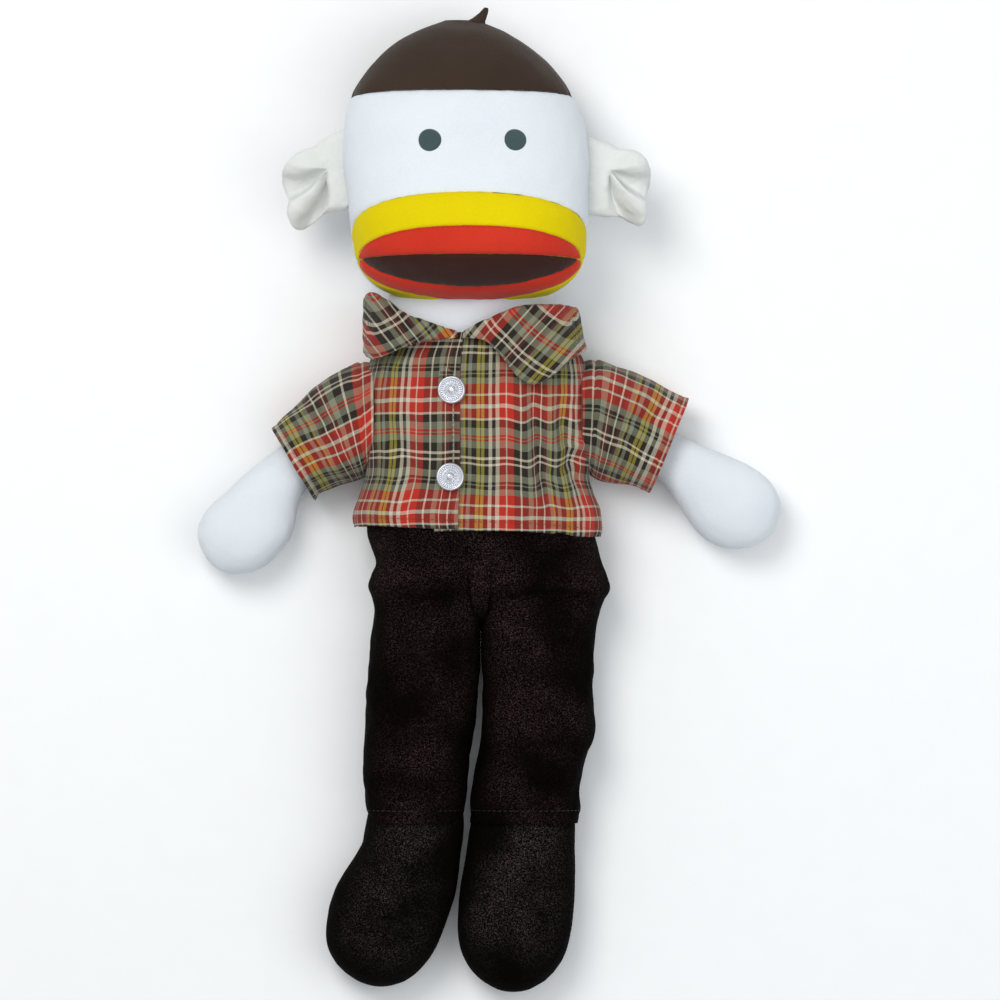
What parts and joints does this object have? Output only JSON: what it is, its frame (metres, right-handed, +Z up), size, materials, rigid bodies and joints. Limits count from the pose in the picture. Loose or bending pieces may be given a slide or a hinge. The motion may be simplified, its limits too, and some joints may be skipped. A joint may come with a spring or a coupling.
{
  "type": "stuffed cloth monkey doll",
  "caption": "Floppy stuffed monkey doll in a short-sleeved plaid shirt and black trousers, lying on its back with jointed head, arms, legs and ears.",
  "frame": {"origin": "centre of the flat patch on the back of the shirt, on which the doll lies", "axes": "+Z up out of the chest, +Y towards the crown of the head, +X towards the doll's own left hand"},
  "size_m": [0.3125, 0.5312, 0.107],
  "materials": {
    "white_fleece": "soft brushed fleece, cool white",
    "brown_felt": "dark brown brushed felt",
    "eye_thread": "dark grey-green satin embroidery",
    "yellow_felt": "bright yellow felt",
    "red_felt": "bright red felt",
    "mouth_felt": "dark brown felt",
    "plaid_cotton": "woven madras plaid of red, charcoal, sage, cream and olive yellow",
    "button_plastic": "silvery pearl, raised rim and ridges",
    "black_twill": "black woven twill",
    "lining_cotton": "grey lining cotton, hidden",
    "foot_cloth": "black-brown weave with faint flecks",
    "stuffing": "light fibre stuffing, hidden"
  },
  "bodies": {
    "torso": {"torso_front_panel": "white_fleece", "torso_back_panel": "white_fleece", "torso_stuffing": "stuffing", "shirt_back": "plaid_cotton", "shirt_front_left": "plaid_cotton", "shirt_front_right": "plaid_cotton", "collar_left": "plaid_cotton", "collar_right": "plaid_cotton", "button_top": "button_plastic", "button_bottom": "button_plastic", "trouser_seat_left": "black_twill", "trouser_seat_right": "black_twill"},
    "neck": {"neck_cover": "white_fleece", "neck_stuffing": "stuffing"},
    "head": {"head_stuffing": "stuffing", "face_panel": "white_fleece", "head_back_panel": "white_fleece", "crown_front": "brown_felt", "crown_back": "brown_felt", "crown_tuft": "brown_felt", "eye_left": "eye_thread", "eye_right": "eye_thread", "muzzle_panel": "yellow_felt", "lip_upper": "red_felt", "lip_lower": "red_felt", "mouth_patch": "mouth_felt"},
    "ear_left": {"ear_left": "white_fleece"},
    "ear_right": {"ear_right": "white_fleece"},
    "upper_arm_left": {"upper_arm_cover_left": "white_fleece", "upper_arm_stuffing_left": "stuffing", "sleeve_left": "plaid_cotton"},
    "hand_left": {"hand_cover_left": "white_fleece", "hand_stuffing_left": "stuffing"},
    "leg_left": {"leg_cover_left": "lining_cotton", "leg_stuffing_left": "stuffing", "trouser_leg_left": "black_twill"},
    "foot_left": {"foot_upper_left": "foot_cloth", "foot_sole_left": "foot_cloth", "foot_stuffing_left": "stuffing"},
    "upper_arm_right": {"upper_arm_cover_right": "white_fleece", "upper_arm_stuffing_right": "stuffing", "sleeve_right": "plaid_cotton"},
    "hand_right": {"hand_cover_right": "white_fleece", "hand_stuffing_right": "stuffing"},
    "leg_right": {"leg_cover_right": "lining_cotton", "leg_stuffing_right": "stuffing", "trouser_leg_right": "black_twill"},
    "foot_right": {"foot_upper_right": "foot_cloth", "foot_sole_right": "foot_cloth", "foot_stuffing_right": "stuffing"}
  },
  "joints": [
    {"name": "neck_nod", "type": "hinge", "parent": "torso", "child": "neck", "pos_m": [-0.004, 0.067, 0.034], "axis": [1, 0, 0], "range_deg": [-10, 25], "deforming": ["collar_left", "collar_right"]},
    {"name": "head_turn", "type": "hinge", "parent": "neck", "child": "head", "pos_m": [-0.004, 0.079, 0.034], "axis": [0, 1, 0], "range_deg": [-60, 60]},
    {"name": "ear_left_flap", "type": "hinge", "parent": "head", "child": "ear_left", "pos_m": [0.06599, 0.14465, 0.0466], "axis": [0, 1, 0], "range_deg": [-30, 30]},
    {"name": "ear_right_flap", "type": "hinge", "parent": "head", "child": "ear_right", "pos_m": [-0.07801, 0.14465, 0.0466], "axis": [0, -1, 0], "range_deg": [-30, 30]},
    {"name": "shoulder_left_raise", "type": "hinge", "parent": "torso", "child": "upper_arm_left", "pos_m": [0.0623, 0.017, 0.0161], "axis": [0, 0, 1], "range_deg": [-25, 40], "deforming": ["sleeve_left"]},
    {"name": "elbow_left_fold", "type": "hinge", "parent": "upper_arm_left", "child": "hand_left", "pos_m": [0.10399, -0.00244, 0.0161], "axis": [-0.515, -0.8572, 0], "range_deg": [-5, 40]},
    {"name": "shoulder_right_raise", "type": "hinge", "parent": "torso", "child": "upper_arm_right", "pos_m": [-0.0623, 0.017, 0.0161], "axis": [0, 0, -1], "range_deg": [-25, 40], "deforming": ["sleeve_right"]},
    {"name": "elbow_right_fold", "type": "hinge", "parent": "upper_arm_right", "child": "hand_right", "pos_m": [-0.1011, -0.00772, 0.0161], "axis": [-0.682, 0.7314, 0], "range_deg": [-5, 40]},
    {"name": "hip_left_swing", "type": "hinge", "parent": "torso", "child": "leg_left", "pos_m": [0.0326, -0.0847, 0.0236], "axis": [-1, 0, 0], "range_deg": [-10, 90], "deforming": ["trouser_seat_left"]},
    {"name": "ankle_left_flex", "type": "hinge", "parent": "leg_left", "child": "foot_left", "pos_m": [0.02315, -0.21335, 0.0211], "axis": [-1, 0, 0], "range_deg": [-10, 30]},
    {"name": "hip_right_swing", "type": "hinge", "parent": "torso", "child": "leg_right", "pos_m": [-0.0294, -0.0847, 0.0236], "axis": [-1, 0, 0], "range_deg": [-10, 90], "deforming": ["trouser_seat_right"]},
    {"name": "ankle_right_flex", "type": "hinge", "parent": "leg_right", "child": "foot_right", "pos_m": [-0.03525, -0.21357, 0.0211], "axis": [-1, 0, 0], "range_deg": [-10, 30]}
  ]
}
